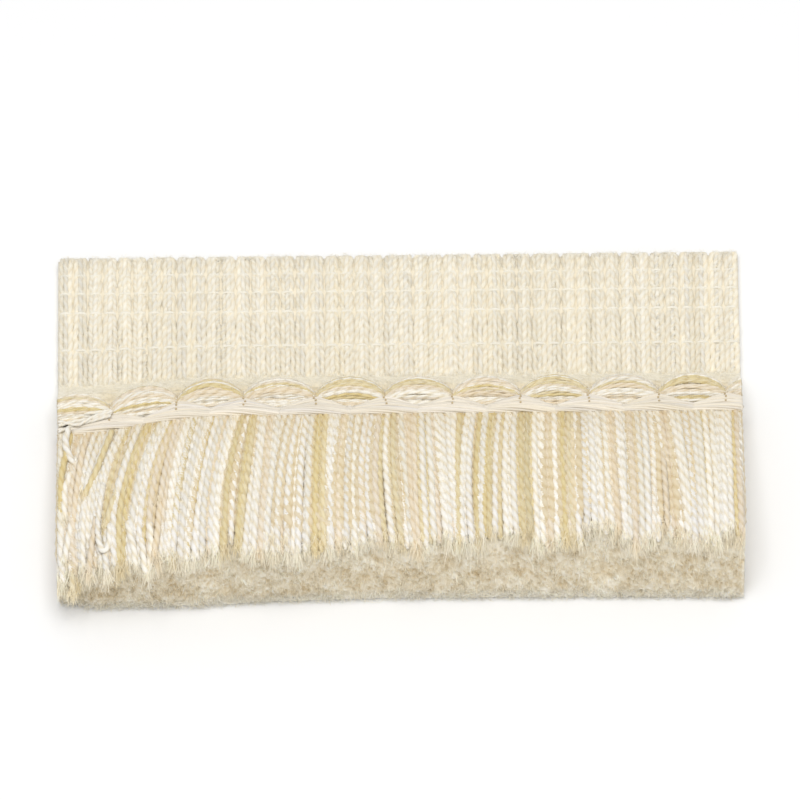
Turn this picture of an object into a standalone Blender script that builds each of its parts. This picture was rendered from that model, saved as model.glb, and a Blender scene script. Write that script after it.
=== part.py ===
"""Brush fringe: a cut length of furnishing trim, lying on its back on Z = 0.

A knitted heading tape carries a row of bunched yarn floats, the ties that gather them, a
chain stitch and a thick brush of cut yarn. The length runs along X, the heading's looped
edge faces +Y and the brush faces -Y. All sizes are in metres.
"""

import math
import random

import bmesh
import bpy
import numpy as np
from mathutils import Matrix

# Overall sizes
LENGTH = 0.0854
HALF_LENGTH = LENGTH / 2
GAP = 0.0003
MERGE_DISTANCE = 0.000001
SEED = 11

# Heading tape: a knitted sheet of yarn columns, pinched by thread lines along X
TAPE_EDGE_Y = 0.0252
TAPE_FRONT_Y = 0.0007
TAPE_BASE = 0.0011
COLUMNS = 46
COLUMN_PITCH = LENGTH / COLUMNS
POINTS_PER_COLUMN = 3
LOOP_COLUMNS = 2
LOOP_DEPTH = 0.0007
EDGE_THICKNESS = 0.0006
# Each row: y of the thread line that ends it, height of its puff, depth of the slits there
TAPE_ROWS = (
    {"line_y": 0.0217, "puff": 0.00050, "slit": 0.00045},
    {"line_y": 0.0192, "puff": 0.00050, "slit": 0.00045},
    {"line_y": 0.0161, "puff": 0.00050, "slit": 0.00040},
    {"line_y": 0.0112, "puff": 0.00055, "slit": 0.00012},
    {"line_y": 0.0075, "puff": 0.00050, "slit": 0.00012},
    {"line_y": TAPE_FRONT_Y, "puff": 0.00015, "slit": 0.00005},
)
LINE_HEIGHT = 0.00022
TAPE_TOP = TAPE_BASE + max(row["puff"] for row in TAPE_ROWS)
# Shares of the slump that the tape's last two rows of points follow
TAPE_SAG_SHARES = (0.5, 1.0)

# Brush root: the narrow strip where the yarns are fused, behind which the tape starts
ROOT_BACK_Y = 0.0004
ROOT_FRONT_Y = -0.0010
ROOT_HEIGHT = 0.0042
SAG_START_X = -0.022
SAG_Y = 0.0019
SAG_Z = 0.0012

# Brush locks, fanned out from the root in columns and layers
LOCK_COLUMNS = 58
LOCK_LAYERS = 5
ROOT_INSET = 0.00010
END_FILL_X = 0.80
END_FILL_Z = 0.82
STEPS_TOP = (0.28, 0.62, 1.0)
STEPS_INNER = (0.5, 1.0)
LEAN_POWER = 1.3
TOP_ARCH = 0.0010
CUT_BULGE = 0.0005
CUT_JITTER = 0.0003
SIDE_JITTER = 0.00008
# The cut end along the length: lean of the yarns in x, reach and height of the top yarns,
# reach of the bottom yarns
CUT_END = (
    {"x": -0.0427, "lean": -0.0002, "reach": 0.0272, "height": 0.0042, "foot": 0.0268},
    {"x": -0.0380, "lean": -0.0022, "reach": 0.0268, "height": 0.0050, "foot": 0.0267},
    {"x": -0.0330, "lean": -0.0037, "reach": 0.0264, "height": 0.0062, "foot": 0.0266},
    {"x": -0.0270, "lean": -0.0036, "reach": 0.0256, "height": 0.0078, "foot": 0.0263},
    {"x": -0.0190, "lean": -0.0026, "reach": 0.0243, "height": 0.0092, "foot": 0.0258},
    {"x": -0.0125, "lean": -0.0016, "reach": 0.0227, "height": 0.0100, "foot": 0.0256},
    {"x": -0.0030, "lean": -0.0003, "reach": 0.0231, "height": 0.0101, "foot": 0.0255},
    {"x": 0.0045, "lean": 0.0011, "reach": 0.0243, "height": 0.0098, "foot": 0.0255},
    {"x": 0.0090, "lean": -0.0008, "reach": 0.0240, "height": 0.0098, "foot": 0.0255},
    {"x": 0.0170, "lean": 0.0000, "reach": 0.0231, "height": 0.0100, "foot": 0.0254},
    {"x": 0.0250, "lean": 0.0006, "reach": 0.0215, "height": 0.0103, "foot": 0.0254},
    {"x": 0.0340, "lean": 0.0012, "reach": 0.0228, "height": 0.0100, "foot": 0.0253},
    {"x": 0.0427, "lean": 0.0002, "reach": 0.0230, "height": 0.0097, "foot": 0.0253},
)

# Float bundle: one hank of yarns tied down at each pinch, so it swells between the ties
PINCH_X = (
    -0.0362, -0.0277, -0.0195, -0.0105, -0.0018,
    0.0066, 0.0151, 0.0237, 0.0324, 0.0408,
)
FLOAT_PITCH = 0.0085
BUNDLE_LOBES = 7
LOBE_DEPTH = 0.14
SWELL_RADIUS = 0.00165
PINCH_RADIUS = 0.00065
SWELL_Y = 0.0031
PINCH_Y = 0.0024
SWELL_POWER = 0.6
BUNDLE_SHARES = (0.0, 0.12, 0.30, 0.50, 0.70, 0.88)

# Chain stitch: two soft threads laid round each other along the top of the root
CHAIN_THREAD_RADIUS = 0.00050
CHAIN_THREAD_OFFSET = 0.00036
CHAIN_STEPS_PER_TURN = 8

# Ties: one over the bundle at each pinch, from the tape to behind the chain stitch, with
# its rise as a share of the way from the tape's top to above the bundle
TIE_RADIUS = 0.00028
TIE_ROUTE = (
    {"y": 0.00520, "rise": 0.0},
    {"y": 0.00422, "rise": 0.35},
    {"y": 0.00305, "rise": 0.90},
    {"y": 0.00240, "rise": 1.0},
    {"y": 0.00175, "rise": 0.95},
    {"y": 0.00112, "rise": 0.45},
)
TIE_TOP = TAPE_TOP + GAP + 2 * PINCH_RADIUS + GAP + 2 * TIE_RADIUS


def clear_scene():
    """Empties the file, so that the script gives the same result anywhere."""
    for obj in list(bpy.data.objects):
        bpy.data.objects.remove(obj, do_unlink=True)


def make_collection(name):
    collection = bpy.data.collections.new(name)
    bpy.context.scene.collection.children.link(collection)
    return collection


def make_material(name, colour, roughness):
    material = bpy.data.materials.new(name)
    material.use_nodes = True
    shader = material.node_tree.nodes["Principled BSDF"]
    shader.inputs["Base Color"].default_value = (*colour, 1.0)
    shader.inputs["Roughness"].default_value = roughness
    shader.inputs["Metallic"].default_value = 0.0
    return material


def smooth(share):
    """A rise from 0 to 1 that starts and ends level."""
    share = min(1.0, max(0.0, share))
    return share * share * (3 - 2 * share)


def blend(start, end, share):
    return start + (end - start) * share


def sag(x):
    """How far the loosened left end of the trim has slumped: (towards -Y, down)."""
    share = smooth((SAG_START_X - x) / (SAG_START_X + HALF_LENGTH))
    return SAG_Y * share, SAG_Z * share


def cut_end(x, column):
    """The named column of the cut end's table at x."""
    places = [row["x"] for row in CUT_END]
    values = [row[column] for row in CUT_END]
    return float(np.interp(x, places, values))


def add_object(name, data, material, collection):
    obj = bpy.data.objects.new(name, data)
    data.materials.append(material)
    collection.objects.link(obj)
    return obj


def finish_mesh(bm, name):
    bmesh.ops.recalc_face_normals(bm, faces=bm.faces)
    mesh = bpy.data.meshes.new(name)
    bm.to_mesh(mesh)
    bm.free()
    return mesh


# Heading tape


def tape_lines():
    """The tape's rows of points from the looped edge forward: (y, height, slit depth)."""
    lines = [(TAPE_EDGE_Y, EDGE_THICKNESS, 0.0)]
    back_y = TAPE_EDGE_Y
    for row in TAPE_ROWS:
        middle_y = (back_y + row["line_y"]) / 2
        lines.append((middle_y, TAPE_BASE + row["puff"], row["slit"]))
        lines.append((row["line_y"], TAPE_BASE + LINE_HEIGHT, row["slit"] / 2))
        back_y = row["line_y"]
    return lines


def build_tape(material, collection):
    """A flat sheet whose top holds the knitted columns and whose back edge is looped."""
    lines = tape_lines()
    across = COLUMNS * POINTS_PER_COLUMN
    bm = bmesh.new()
    bmesh.ops.create_grid(bm, x_segments=across, y_segments=len(lines) - 1, size=0.5)
    for vert in bm.verts:
        column_point = round((vert.co.x + 0.5) * across)
        line = round((0.5 - vert.co.y) * (len(lines) - 1))
        y, height, slit = lines[line]
        x = blend(-HALF_LENGTH, HALF_LENGTH, column_point / across)
        if column_point % POINTS_PER_COLUMN == 0:
            height -= slit
        if line == 0:
            loop_width = LOOP_COLUMNS * COLUMN_PITCH
            from_middle = 2 * abs((x + HALF_LENGTH) / loop_width % 1.0 - 0.5)
            y -= LOOP_DEPTH * from_middle ** 3
        lines_left = len(lines) - line
        if lines_left <= len(TAPE_SAG_SHARES):
            y -= sag(x)[0] * TAPE_SAG_SHARES[-lines_left]
        vert.co = (x, y, height)
    rim = [edge for edge in bm.edges if edge.is_boundary]
    walls = bmesh.ops.extrude_edge_only(bm, edges=rim)["geom"]
    for vert in (item for item in walls if isinstance(item, bmesh.types.BMVert)):
        vert.co.z = 0.0
    foot = [edge for edge in bm.edges if edge.is_boundary]
    bmesh.ops.holes_fill(bm, edges=foot, sides=len(foot))
    return add_object("heading_tape", finish_mesh(bm, "heading_tape"), material, collection)


# Brush


def root_point(x, share_up, y):
    """A point of the root strip, slumped at the left end."""
    forward, down = sag(x)
    return x, y - forward, (ROOT_HEIGHT - down) * share_up


def lock_corner(column, layer, side_x, side_z, along, jitter):
    """A corner of a lock's section, at the share along of its length."""
    fill_x = blend(1.0 - 2 * ROOT_INSET / (LENGTH / LOCK_COLUMNS), END_FILL_X, along)
    fill_z = blend(1.0 - 2 * ROOT_INSET / (ROOT_HEIGHT / LOCK_LAYERS), END_FILL_Z, along)
    root_x = blend(-HALF_LENGTH, HALF_LENGTH, (column + 0.5 + side_x * fill_x / 2) / LOCK_COLUMNS)
    up = (layer + 0.5 + side_z * fill_z / 2) / LOCK_LAYERS
    if layer == 0 and side_z < 0:
        up = 0.0
    _, start_y, start_z = root_point(root_x, up, ROOT_FRONT_Y)
    reach = blend(cut_end(root_x, "foot"), cut_end(root_x, "reach"), up)
    reach += CUT_BULGE * 4 * up * (1 - up) + jitter["cut"]
    end_z = cut_end(root_x, "height") * up
    arch = TOP_ARCH * up * math.sin(math.pi * along)
    x = root_x + cut_end(root_x, "lean") * along ** LEAN_POWER + jitter["side"] * along
    y = blend(start_y, -reach, along)
    z = blend(start_z, end_z, along) + arch
    return x, y, z


def build_brush(material, collection):
    """The root strip, with every lock drawn out of its front in steps."""
    bm = bmesh.new()
    bmesh.ops.create_grid(bm, x_segments=LOCK_COLUMNS, y_segments=LOCK_LAYERS, size=0.5)
    for vert in bm.verts:
        x = blend(-HALF_LENGTH, HALF_LENGTH, vert.co.x + 0.5)
        vert.co = root_point(x, vert.co.y + 0.5, ROOT_FRONT_Y)
    fronts = list(bm.faces)
    backs = bmesh.ops.extrude_face_region(bm, geom=fronts, use_keep_orig=True)["geom"]
    for vert in (item for item in backs if isinstance(item, bmesh.types.BMVert)):
        vert.co.y += ROOT_BACK_Y - ROOT_FRONT_Y
    chance = random.Random(SEED)
    for face in fronts:
        middle = face.calc_center_median()
        column = int((middle.x + HALF_LENGTH) / LENGTH * LOCK_COLUMNS)
        height = ROOT_HEIGHT - sag(middle.x)[1]
        layer = int(middle.z / height * LOCK_LAYERS)
        jitter = {
            "cut": chance.uniform(-CUT_JITTER, CUT_JITTER),
            "side": chance.uniform(-SIDE_JITTER, SIDE_JITTER),
        }
        bmesh.ops.inset_individual(bm, faces=[face], thickness=ROOT_INSET)
        steps = STEPS_TOP if layer == LOCK_LAYERS - 1 else STEPS_INNER
        tip = face
        for along in steps:
            tip = bmesh.ops.extrude_discrete_faces(bm, faces=[tip])["faces"][0]
            middle = tip.calc_center_median()
            for vert in tip.verts:
                side_x = math.copysign(1, vert.co.x - middle.x)
                side_z = math.copysign(1, vert.co.z - middle.z)
                vert.co = lock_corner(column, layer, side_x, side_z, along, jitter)
    return add_object("brush", finish_mesh(bm, "brush"), material, collection)


# Float bundle, chain stitch and ties


def closed_profile(name, points, collection):
    """A flat closed outline that a curve is swept with."""
    curve = bpy.data.curves.new(name, "CURVE")
    curve.dimensions = "2D"
    spline = curve.splines.new("POLY")
    spline.points.add(len(points) - 1)
    for point, (across, up) in zip(spline.points, points):
        point.co = (across, up, 0.0, 1.0)
    spline.use_cyclic_u = True
    obj = bpy.data.objects.new(name, curve)
    obj.hide_render = True
    obj.display_type = "WIRE"
    collection.objects.link(obj)
    return obj


def solid_from_curve(name, curve, material, collection):
    """The curve's swept surface as one closed mesh, with its caps joined on."""
    source = bpy.data.objects.new(name + "_curve", curve)
    collection.objects.link(source)
    bpy.context.view_layer.update()
    evaluated = source.evaluated_get(bpy.context.evaluated_depsgraph_get())
    bm = bmesh.new()
    bm.from_mesh(evaluated.to_mesh())
    evaluated.to_mesh_clear()
    bpy.data.objects.remove(source, do_unlink=True)
    bmesh.ops.remove_doubles(bm, verts=bm.verts, dist=MERGE_DISTANCE)
    return add_object(name, finish_mesh(bm, name), material, collection)


def sweep(name, stations, profile, material, collection):
    """A capped solid along stations of (point, radius, tilt)."""
    curve = bpy.data.curves.new(name, "CURVE")
    curve.dimensions = "3D"
    curve.twist_mode = "Z_UP"
    spline = curve.splines.new("POLY")
    spline.points.add(len(stations) - 1)
    for point, (place, radius, tilt) in zip(spline.points, stations):
        point.co = (*place, 1.0)
        point.radius = radius
        point.tilt = tilt
    curve.bevel_mode = "OBJECT"
    curve.bevel_object = profile
    curve.use_fill_caps = True
    return solid_from_curve(name, curve, material, collection)


def bundle_station(x):
    """The bundle's middle and radius at x: slim at a pinch and swollen between two."""
    pinches = [PINCH_X[0] - FLOAT_PITCH, *PINCH_X, PINCH_X[-1] + FLOAT_PITCH]
    share = float(np.interp(x, pinches, range(len(pinches)))) % 1.0
    swell = math.sin(math.pi * share) ** SWELL_POWER
    radius = blend(PINCH_RADIUS, SWELL_RADIUS, swell)
    forward, _ = sag(x)
    y = blend(PINCH_Y, SWELL_Y, swell) - forward
    return (x, y, TAPE_TOP + GAP + radius), radius, 0.0


def build_bundle(material, collection, helpers):
    """One continuous hank that swells between its ties, with ridged yarns."""
    outline = []
    for index in range(2 * BUNDLE_LOBES):
        angle = math.pi * index / BUNDLE_LOBES
        radius = 1.0 - LOBE_DEPTH * (index % 2)
        outline.append((radius * math.cos(angle), radius * math.sin(angle)))
    profile = closed_profile("bundle_outline", outline, helpers)
    pinches = [PINCH_X[0] - FLOAT_PITCH, *PINCH_X, PINCH_X[-1] + FLOAT_PITCH]
    places = [
        blend(low, high, share)
        for low, high in zip(pinches, pinches[1:])
        for share in BUNDLE_SHARES
    ]
    inside = [x for x in places if abs(x) < HALF_LENGTH - GAP]
    stations = [bundle_station(x) for x in (-HALF_LENGTH, *inside, HALF_LENGTH)]
    return sweep("float_bundle", stations, profile, material, collection)


def build_chain(material, collection, helpers):
    """Two threads laid round each other, crossing at each pinch and once between."""
    outline = []
    for sign in (1, -1):
        for degrees in (-60, 0, 60):
            angle = math.radians(degrees)
            across = CHAIN_THREAD_OFFSET + CHAIN_THREAD_RADIUS * math.cos(angle)
            outline.append((sign * across, sign * CHAIN_THREAD_RADIUS * math.sin(angle)))
    profile = closed_profile("chain_outline", outline, helpers)
    turns = LENGTH / FLOAT_PITCH
    count = round(turns * CHAIN_STEPS_PER_TURN)
    reach = CHAIN_THREAD_OFFSET + CHAIN_THREAD_RADIUS
    stations = []
    for index in range(count + 1):
        x = blend(-HALF_LENGTH, HALF_LENGTH, index / count)
        forward, down = sag(x)
        place = (x, -forward, ROOT_HEIGHT - down + GAP + reach)
        turn = 2 * math.pi * (x - PINCH_X[0]) / FLOAT_PITCH
        stations.append((place, 1.0, turn))
    return sweep("chain_stitch", stations, profile, material, collection)


def build_tie(name, x, material, collection):
    """A thread from the tape over the bundle's pinch and down behind the chain."""
    forward, _ = sag(x)
    curve = bpy.data.curves.new(name, "CURVE")
    curve.dimensions = "3D"
    spline = curve.splines.new("POLY")
    spline.points.add(len(TIE_ROUTE) - 1)
    for point, stop in zip(spline.points, TIE_ROUTE):
        z = blend(TAPE_TOP + GAP + TIE_RADIUS, TIE_TOP, stop["rise"])
        point.co = (x, stop["y"] - forward, z, 1.0)
    curve.bevel_depth = TIE_RADIUS
    curve.bevel_resolution = 1
    curve.use_fill_caps = True
    return solid_from_curve(name, curve, material, collection)


def centre_on_origin(objects):
    """Slides the whole trim so that its box is centred over the origin."""
    corners = np.array([vert.co for obj in objects for vert in obj.data.vertices])
    middle = (corners.min(axis=0) + corners.max(axis=0)) / 2
    for obj in objects:
        obj.data.transform(Matrix.Translation((-middle[0], -middle[1], 0)))


def main():
    clear_scene()
    parts = make_collection("brush_fringe")
    helpers = make_collection("outlines")
    cream = make_material("tape_cream", (0.84, 0.78, 0.63), 0.85)
    ivory = make_material("brush_yarn", (0.80, 0.71, 0.52), 0.75)
    gold = make_material("bundle_yarn", (0.79, 0.68, 0.47), 0.75)
    blush = make_material("chain_thread", (0.87, 0.78, 0.66), 0.65)
    thread = make_material("tie_thread", (0.84, 0.78, 0.63), 0.85)
    build_tape(cream, parts)
    build_brush(ivory, parts)
    build_bundle(gold, parts, helpers)
    build_chain(blush, parts, helpers)
    for index, x in enumerate(PINCH_X, start=1):
        build_tie(f"tie_{index:02d}", x, thread, parts)
    centre_on_origin(parts.objects)


main()
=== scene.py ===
"""Looks of the brush fringe: every yarn and thread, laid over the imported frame.

Lengths are in millimetres, and meshes are scaled to metres as they are made. X runs along
the trim, +Y points to the heading's looped edge and the brush points to -Y. Y = 0 is just
behind the chain stitch's links. A batch of yarns is an array of paths: yarn, point, (x, y, z).
"""

import math
from functools import partial

import bpy
import numpy as np
from mathutils import Matrix, Vector


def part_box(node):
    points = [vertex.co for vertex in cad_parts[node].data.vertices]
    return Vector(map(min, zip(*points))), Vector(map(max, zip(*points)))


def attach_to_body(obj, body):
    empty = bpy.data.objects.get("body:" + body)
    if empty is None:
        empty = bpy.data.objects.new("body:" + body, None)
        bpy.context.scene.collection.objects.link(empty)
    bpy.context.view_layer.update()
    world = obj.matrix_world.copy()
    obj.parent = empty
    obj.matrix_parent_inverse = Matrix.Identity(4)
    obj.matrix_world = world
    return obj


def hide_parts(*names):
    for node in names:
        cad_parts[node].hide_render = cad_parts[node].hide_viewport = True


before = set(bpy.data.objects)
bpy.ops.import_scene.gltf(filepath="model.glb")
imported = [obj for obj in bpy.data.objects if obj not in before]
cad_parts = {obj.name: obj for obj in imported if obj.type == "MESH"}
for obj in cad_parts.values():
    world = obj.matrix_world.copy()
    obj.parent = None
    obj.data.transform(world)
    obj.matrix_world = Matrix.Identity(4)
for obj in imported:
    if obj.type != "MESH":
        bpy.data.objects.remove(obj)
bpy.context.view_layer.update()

MM = 0.001
SEED = 7

# The trim's own axes in the frame
LENGTH = 85.4
HALF_LENGTH = LENGTH / 2
EDGE_Y = 25.2
TAPE_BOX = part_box("heading_tape")
ORIGIN = np.array([
    (TAPE_BOX[0][0] + TAPE_BOX[1][0]) / 2 / MM,
    TAPE_BOX[1][1] / MM - EDGE_Y,
    0.0,
])
FLOOR_GAP = 0.02

# Dyes and colours; some of them also serve as painted shade or light, as noted where they are used
DYES = {
    "ivory": (0.89, 0.85, 0.755),
    "gold": (0.72, 0.605, 0.335),
    "peach": (0.80, 0.695, 0.53),
    "shaded_amber": (0.72, 0.615, 0.42),
    "cream": (0.87, 0.83, 0.725),
    "felt": (0.86, 0.805, 0.665),
    "blush": (0.82, 0.755, 0.645),
    "pale": (0.90, 0.86, 0.765),
    "tan": (0.80, 0.70, 0.50),
    "brown": (0.56, 0.44, 0.26),
    "beige": (0.84, 0.765, 0.61),
    "sand": (0.76, 0.64, 0.43),
    "fluff": (0.94, 0.89, 0.77),
    "grey": (0.90, 0.875, 0.80),
}
# How far a dye differs from yarn to yarn, how much of it yarns take, and all colours' range
DYE_SPREAD = 0.02
DYE_TAKE = (0.7, 1.1)
COLOUR_RANGE = (0.02, 0.98)
# Brush yarns: painted shade where the plies meet and painted highlight along their crests
BRUSH_GROOVE_SHADE = (0.90, 0.84, 0.71)
BRUSH_CREST_HIGHLIGHT = (1.045, 1.05, 1.07)

# Slump of the loosened left end
SAG_START_X = -22.0
SAG_Y = 1.9
SAG_Z = 1.2

# Heading: columns of thread that turn back in pairs at the edge, crossed by thread lines
COLUMNS = 46
COLUMN_PITCH = LENGTH / COLUMNS
THREADS_PER_COLUMN = 3
THREAD_RADIUS = 0.42
THREAD_TURN = 2.4
THREAD_STEPS_PER_TURN = 6
TIGHT_SPACING = 0.515
LOOSE_SPACING = 0.605
LINE_GATHER = 0.085
THREAD_WIGGLE = 0.035
THREAD_MOTTLE = 0.03
# Outer threads of each column are darker and warmer: painted shade for the slits between the columns
COLUMN_SIDE_SHADE = np.array([0.985, 0.97, 0.935])
TURN_BACK_Y = 24.35
TURN_BACK_LENGTH = 3.0
LOOP_RISE = 0.42
LOOP_NEST = 0.55
LOOP_DROP = 0.50
THREAD_LOW_Z = 0.86
RIB_CROWN = 0.14
# Each line: its place, how far the threads puff up behind it, the radius of its own thread
LINES = (
    (22.1, 0.22, 0.17),
    (19.4, 0.24, 0.17),
    (16.5, 0.26, 0.19),
    (11.4, 0.30, 0.20),
    (6.6, 0.28, 0.10),
)
FRONT_LINE_Y = LINES[-1][0]
LOOSE_FROM_Y = 15.4

# Base cloth under the threads, bare next to the floats
CLOTH_FRONT_Y = 0.7
CLOTH_LOW = 1.12
CLOTH_BARE = 1.35
CLOTH_BARE_Y = 5.9
FOLD_HEIGHT = 0.09
NAP_RISE = 1.45
NAP_RISE_Y = 4.75
SAG_BACK_Y = 16.5
HEADING_HAIRS = 9000
EDGE_HAIRS = 3500
NAP_HAIRS = 5000

# Floats: hanks between the pinches
PINCHES = (-36.2, -27.7, -19.5, -10.5, -1.8, 6.6, 15.1, 23.7, 32.4, 40.8)
FLOAT_PITCH = 8.5
# Dyes of each float's yarns from back to front: i ivory, g gold, p peach
FLOAT_DYES = (
    "iggipgpiigpiipi", "ippgppippigipii", "iggpgiggppiiipi", "iippipgippipiii",
    "igggigggpiggipi", "iippiggppiipiii", "ipipippigppiipi", "igggiggppigiipi",
    "pgippiigpiippii", "ggppigggppiigip", "ippiigpiippiiii",
)
FLOAT_STRANDS = 26
HIDDEN_FLOATS = 5
INNER_FLOATS = 7
FLOAT_RADIUS = 0.25
FLOAT_TURN = 3.0
FLOAT_HAIRS = 4000
# The share of the left end's drop that the floats take
FLOAT_SAG = 0.4
FLOAT_BACK_ANGLE = -5.0
FLOAT_FRONT_ANGLE = 205.0
FRONT_LIFT = 1.25
FRONT_LIFT_FROM = 2.6
SWELL = 1.76
SWELL_CENTRE = (2.66, 4.05)
PINCH_SIZE = 0.45
PINCH_CENTRE = (1.55, 3.85)
SWELL_POWER = 0.55

# Chain stitch
LINK = FLOAT_PITCH / 2
CHAIN_Y = -0.76
CHAIN_DIP = 0.22
CHAIN_Z = 5.30
# The chain's loosened strands at the left end: points of each
LOOSENED = (
    ((-42.6, -2.7, 4.0), (-40.4, -1.7, 4.2), (-38.6, -1.5, 4.5), (-36.0, -0.9, 4.9)),
    ((-42.6, -1.8, 4.1), (-40.6, -1.4, 4.4), (-38.4, -1.2, 4.7), (-35.9, -0.6, 5.0)),
    ((-42.6, -0.6, 4.2), (-40.8, -0.1, 4.4), (-38.6, -0.5, 4.8), (-36.0, -0.3, 5.1)),
    ((-42.6, -1.3, 4.3), (-40.2, -2.1, 4.5), (-38.0, -0.9, 4.9), (-35.8, -0.5, 5.2)),
)
LOOSENED_RADIUS = 0.25
LOOSENED_TURN = 1.9
LINK_FILAMENTS = 9
LINK_RADIUS = 0.46
FILAMENT_RADIUS = 0.17
# A hidden thread that closes the gap between the links and the bundles behind: (y, z)
FILLER = (-0.38, 4.98)
FILLER_RADIUS = 0.36
# Bundles of straight filaments over each pinch: (y, z)
BUNDLES = ((0.02, 5.33), (0.58, 5.24), (1.08, 5.02))
BUNDLE_FILAMENTS = 6
BUNDLE_HALF = 4.1
BUNDLE_END_Y = -0.32
# Short dark brown bits over each pinch, where the tie passes down between the bundles: painted shadow
# of the gaps there. Their (y, z), and their radius along their length
SHADOW_DOTS = ((0.28, 5.64), (0.90, 5.56), (1.38, 5.33))
SHADOW_DOT_RADIUS = (0.06, 0.12, 0.14, 0.12, 0.06)

# Ties: fine threads from the ground behind, over each pinch, to the chain
TIE_THREADS = 9
TIE_SPREAD = 1.3
TIE_RADIUS = 0.11
# A tie's route: stops along it, its Y after its drawn start, and its heights
TIE_STOPS = (0.0, 0.25, 0.7, 1.0)
TIE_Y = (4.7, 2.0, 0.9)
TIE_Z = (1.22, 1.50, 4.35, 5.0)

# Brush
BRUSH_COLUMNS = 102
BRUSH_STEPS = 72
CORE_LAYERS = 3
STRAY_RADIUS = 0.44
SECOND_UP = 0.982
BRUSH_SPACING = LENGTH / BRUSH_COLUMNS
ROOT_HEIGHT = 4.3
ARCH = 1.0
YARN_TURN = 3.4
ROOT_RADIUS = 0.45
END_RADIUS = 0.490
BED_UP = 0.935
BED_STEPS = 48
BED_RADIUS = (0.60, 0.80)
BED_SHORT = 2.3
SIDE_SHORT = 0.7
HIDDEN_SHORT = 2.2
SIDE_LAYERS = 13
SIDE_ROOT_BACK = 0.9
# Painted shade on the yarns near the root, under the chain, and painted light towards the cut end
ROOT_SHADE = (0.94, 0.90, 0.82)
END_LIGHT = (1.01, 1.02, 1.06)
SECOND_STEPS = 56
TOUSLED_STEPS = 60
# Where the left end's yarns start to get tousled, and how much looseness that adds at most
TOUSLE_X = -25.0
TOUSLE = 0.9
TOUSLED_YARNS = 22
LEAN_DRIFT = 0.16
BRUSH_ROOT_Y = 0.2
BRUSH_HAIRS = 10000
# How far the yarns lean and bow along the trim, by the x of their roots
LEAN = (
    ("x", "lean", "bow"),
    (-42.7, -0.4, -0.3), (-38.0, -2.4, -0.9), (-33.0, -3.9, -1.2), (-27.0, -3.6, -0.9),
    (-19.0, -2.6, -0.4), (-12.5, -1.6, -0.4), (-3.0, -0.3, -0.5), (4.0, 1.3, -0.2),
    (8.6, -1.0, -0.4), (17.0, 0.0, -0.2), (25.0, 0.6, 0.0), (34.0, 1.2, 0.3), (42.7, 0.2, 0.1),
)
# The ragged upper lip of the cut end (reach and height) and its foot on the floor
LIP = (
    ("x", "reach", "height"),
    (-42.7, 25.6, 5.6), (-39.5, 25.4, 7.0), (-36.2, 24.9, 8.5), (-31.2, 24.9, 9.0),
    (-25.0, 25.2, 9.3), (-23.0, 24.4, 9.5), (-21.0, 23.0, 9.8), (-18.7, 24.2, 9.8),
    (-15.6, 23.6, 10.0), (-12.4, 24.1, 10.0), (-6.8, 23.5, 10.0), (-3.0, 22.7, 10.0),
    (0.1, 23.7, 10.0), (2.6, 24.1, 9.9), (5.1, 22.4, 9.7), (8.2, 23.8, 9.8), (11.3, 23.0, 10.0),
    (14.4, 22.1, 10.0), (17.6, 23.2, 10.0), (20.1, 22.7, 10.0), (23.8, 21.7, 10.1),
    (26.3, 21.8, 10.1), (28.8, 23.7, 10.0), (32.6, 22.5, 10.0), (36.3, 23.2, 10.0),
    (42.7, 23.5, 9.8),
)
FOOT = (
    ("x", "foot"),
    (-42.7, 25.0), (-38.0, 25.9), (-31.2, 26.0), (-25.0, 25.8), (-15.6, 25.3), (0.0, 25.0),
    (20.0, 25.1), (42.7, 25.4),
)
FACE_BULGE = 1.4
# Dyed tufts that show on top, and the share of their yarns that take the dye
TUFT_SHARE = 0.8
# Each tuft: the x of its middle, its width and its dye
TUFTS = (
    (-41.0, 1.6, "peach"), (-34.0, 1.2, "gold"), (-30.4, 1.2, "peach"), (-27.6, 0.8, "gold"),
    (-21.2, 0.9, "gold"), (-19.4, 0.7, "gold"), (-16.8, 0.6, "peach"), (-14.3, 0.8, "peach"),
    (-10.3, 1.8, "gold"), (-7.6, 0.6, "peach"), (-3.2, 0.9, "peach"), (-0.6, 0.8, "gold"),
    (1.6, 1.6, "peach"), (4.2, 0.7, "peach"), (7.2, 0.8, "gold"), (9.3, 0.7, "gold"),
    (11.2, 0.8, "gold"), (15.3, 2.3, "gold"), (18.2, 0.6, "peach"), (20.8, 1.9, "gold"),
    (26.4, 0.7, "peach"), (28.9, 0.6, "peach"), (31.5, 0.6, "peach"), (33.6, 0.9, "peach"),
    (38.2, 0.6, "gold"), (42.0, 0.5, "peach"),
)
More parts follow.
